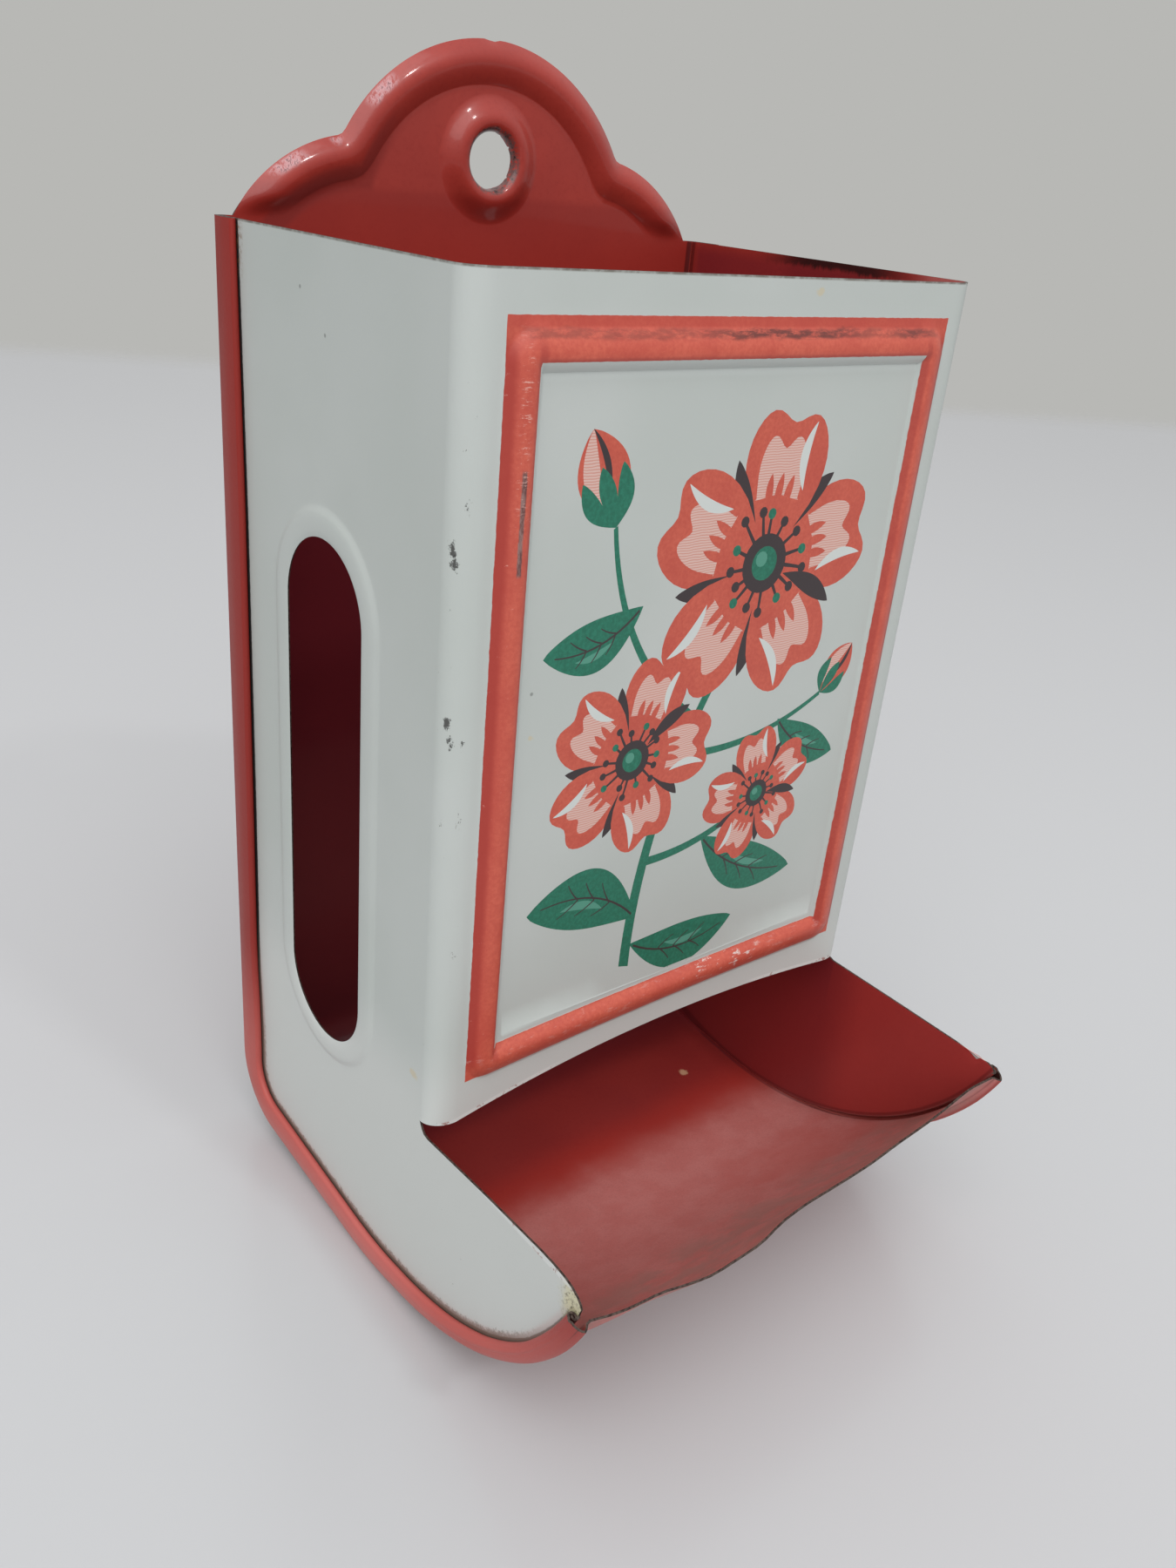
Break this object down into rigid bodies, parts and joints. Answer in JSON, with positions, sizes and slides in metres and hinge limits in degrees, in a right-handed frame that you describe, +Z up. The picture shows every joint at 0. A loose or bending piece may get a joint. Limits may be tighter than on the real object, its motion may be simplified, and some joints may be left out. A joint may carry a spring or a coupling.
{
  "type": "wall-hung match holder",
  "caption": "Wall-hung tinplate kitchen match holder: open-topped hopper with side windows and a hanging crest, over an open trough from which matches are taken.",
  "frame": {"origin": "centre of the hang hole on the back plane that lies against the wall", "axes": "+Y points into the wall through the hang hole, -Y is the front, +Z is up along the flat back, +X is to the right as seen from the front"},
  "size_m": [0.0826, 0.0889, 0.1627],
  "materials": {
    "red_enamel": "gloss red lacquer on tinplate, worn at the folds and rubbed edges",
    "white_enamel": "gloss off-white lacquer with a printed coral red frame outside, gloss dark red lacquer inside"
  },
  "bodies": {
    "root": {"back_tray": "red_enamel", "front_shell": "white_enamel"}
  },
  "joints": []
}
